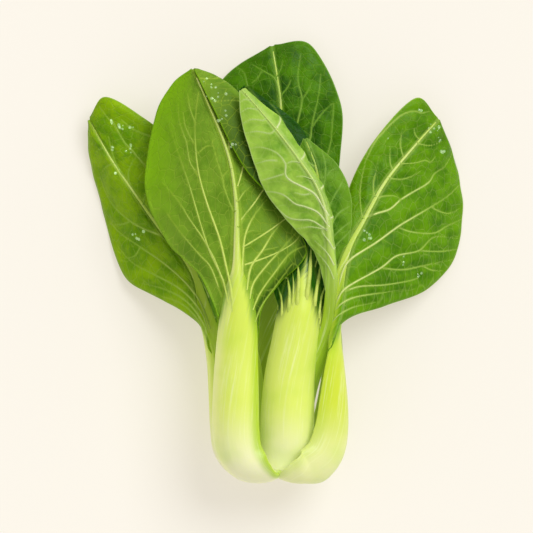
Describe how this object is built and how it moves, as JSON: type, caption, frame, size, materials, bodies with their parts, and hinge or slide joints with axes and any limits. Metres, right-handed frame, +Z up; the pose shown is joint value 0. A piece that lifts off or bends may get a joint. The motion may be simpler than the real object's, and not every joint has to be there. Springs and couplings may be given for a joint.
{
  "type": "bok choy",
  "caption": "Small head of bok choy lying on its side: thick pale green stalks from a cut stem, running on as midribs into spoon-shaped, gently waved green leaves.",
  "frame": {"origin": "on the surface the head lies on, under the middle of its bounding box", "axes": "+Z up, away from the surface; +Y from the cut root end to the leaf tips; +X across the head"},
  "size_m": [0.1552, 0.182, 0.0505],
  "materials": {
    "stem": "matte, cut plant tissue",
    "stalk": "smooth, moist, faintly ribbed",
    "blade_outside": "satin with raised pale veins",
    "blade_inside": "satin with sunken veins and small drops of water"
  },
  "bodies": {
    "root": {"stem_base": "stem", "front_left_stalk": "stalk", "front_centre_stalk": "stalk", "right_stalk": "stalk", "left_stalk": "stalk", "top_back_stalk": "stalk", "back_left_stalk": "stalk", "inner_right_stalk": "stalk", "curled_stalk": "stalk", "front_left_blade": "blade_outside", "front_centre_blade": "blade_inside", "right_blade": "blade_inside", "left_blade": "blade_inside", "top_back_blade": "blade_inside", "back_left_blade": "blade_inside", "inner_right_blade": "blade_inside", "curled_blade": "blade_outside"}
  },
  "joints": []
}
